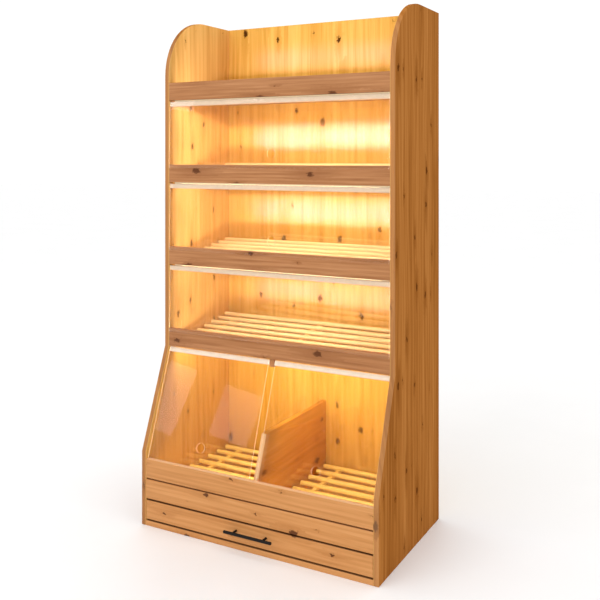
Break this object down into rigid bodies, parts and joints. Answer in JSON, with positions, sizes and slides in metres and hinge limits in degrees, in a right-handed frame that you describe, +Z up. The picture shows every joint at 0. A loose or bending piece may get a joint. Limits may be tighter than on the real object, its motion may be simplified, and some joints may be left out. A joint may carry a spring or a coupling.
{
  "type": "bakery bread rack",
  "caption": "Tall wooden bakery display rack with an open top tray, lit shelves behind clear flip-up doors, dowel racks, sloping-door bread bins and a shallow drawer.",
  "frame": {"origin": "on the floor, under the middle of the cabinet's footprint, on the underside of the bottom board", "axes": "+Z up, -Y out of the front, +X to the right as seen from the front"},
  "size_m": [0.9, 0.57, 1.8],
  "materials": {
    "wood": "satin lacquer over knotty softwood",
    "front_wood": "satin lacquer over knotty softwood",
    "dowel_wood": "sanded and oiled",
    "ply": "sanded plywood",
    "acrylic": "clear polished acrylic",
    "rail": "pale translucent acrylic",
    "steel": "bright zinc plate",
    "black_metal": "satin black powder coat",
    "light": "milky silicone sleeve",
    "driver": "moulded white housing",
    "rubber": "matt black rubber"
  },
  "bodies": {
    "cabinet": {"left_side_panel": "wood", "right_side_panel": "wood", "back_panel": "wood", "shelf_board_1": "wood", "shelf_board_2": "wood", "shelf_board_3": "wood", "shelf_board_4": "wood", "fascia_1": "wood", "fascia_2": "wood", "fascia_3": "wood", "fascia_4": "wood", "bottom_board": "wood", "bin_floor": "wood", "lower_front_board": "front_wood", "bin_front_board": "front_wood", "bin_divider": "wood", "centre_pivot_block": "front_wood", "shelf_rack_2": "dowel_wood", "shelf_rack_3": "dowel_wood", "shelf_rack_4": "dowel_wood", "bin_rack_left": "dowel_wood", "bin_rack_right": "dowel_wood", "light_strip_up_1": "light", "light_strip_up_2": "light", "light_strip_up_3": "light", "light_strip_up_4": "light", "light_strip_down_1": "light", "light_strip_down_2": "light", "light_strip_down_3": "light", "light_strip_down_4": "light", "light_driver": "driver", "cable_grommet": "rubber", "slide_outer_left": "steel", "slide_outer_right": "steel"},
    "upper_door_1": {"upper_door_1_rail": "rail", "upper_door_1_rod": "steel", "upper_door_1_panel": "acrylic"},
    "upper_door_2": {"upper_door_2_rail": "rail", "upper_door_2_rod": "steel", "upper_door_2_panel": "acrylic"},
    "upper_door_3": {"upper_door_3_rail": "rail", "upper_door_3_rod": "steel", "upper_door_3_panel": "acrylic"},
    "bin_door_left": {"bin_door_left_rail": "rail", "bin_door_left_rod": "steel", "bin_door_left_panel": "acrylic"},
    "bin_door_right": {"bin_door_right_rail": "rail", "bin_door_right_rod": "steel", "bin_door_right_panel": "acrylic"},
    "drawer": {"drawer_front": "front_wood", "drawer_side_left": "ply", "drawer_side_right": "ply", "drawer_back": "ply", "drawer_bottom": "ply", "slide_inner_left": "steel", "slide_inner_right": "steel", "handle_bar": "black_metal", "handle_post_left": "black_metal", "handle_post_right": "black_metal"}
  },
  "joints": [
    {"name": "upper_door_1_hinge", "type": "hinge", "parent": "cabinet", "child": "upper_door_1", "pos_m": [0, -0.129, 1.4795], "axis": [-1, 0, 0], "range_deg": [0, 105]},
    {"name": "upper_door_2_hinge", "type": "hinge", "parent": "cabinet", "child": "upper_door_2", "pos_m": [0, -0.129, 1.1825], "axis": [-1, 0, 0], "range_deg": [0, 105]},
    {"name": "upper_door_3_hinge", "type": "hinge", "parent": "cabinet", "child": "upper_door_3", "pos_m": [0, -0.129, 0.8855], "axis": [-1, 0, 0], "range_deg": [0, 105]},
    {"name": "bin_door_left_hinge", "type": "hinge", "parent": "cabinet", "child": "bin_door_left", "pos_m": [-0.2205, -0.129, 0.5885], "axis": [-1, 0, 0], "range_deg": [0, 87]},
    {"name": "bin_door_right_hinge", "type": "hinge", "parent": "cabinet", "child": "bin_door_right", "pos_m": [0.2205, -0.129, 0.5885], "axis": [-1, 0, 0], "range_deg": [0, 87]},
    {"name": "drawer_slide", "type": "slide", "parent": "cabinet", "child": "drawer", "axis": [0, -1, 0], "range_m": [0, 0.3]}
  ]
}
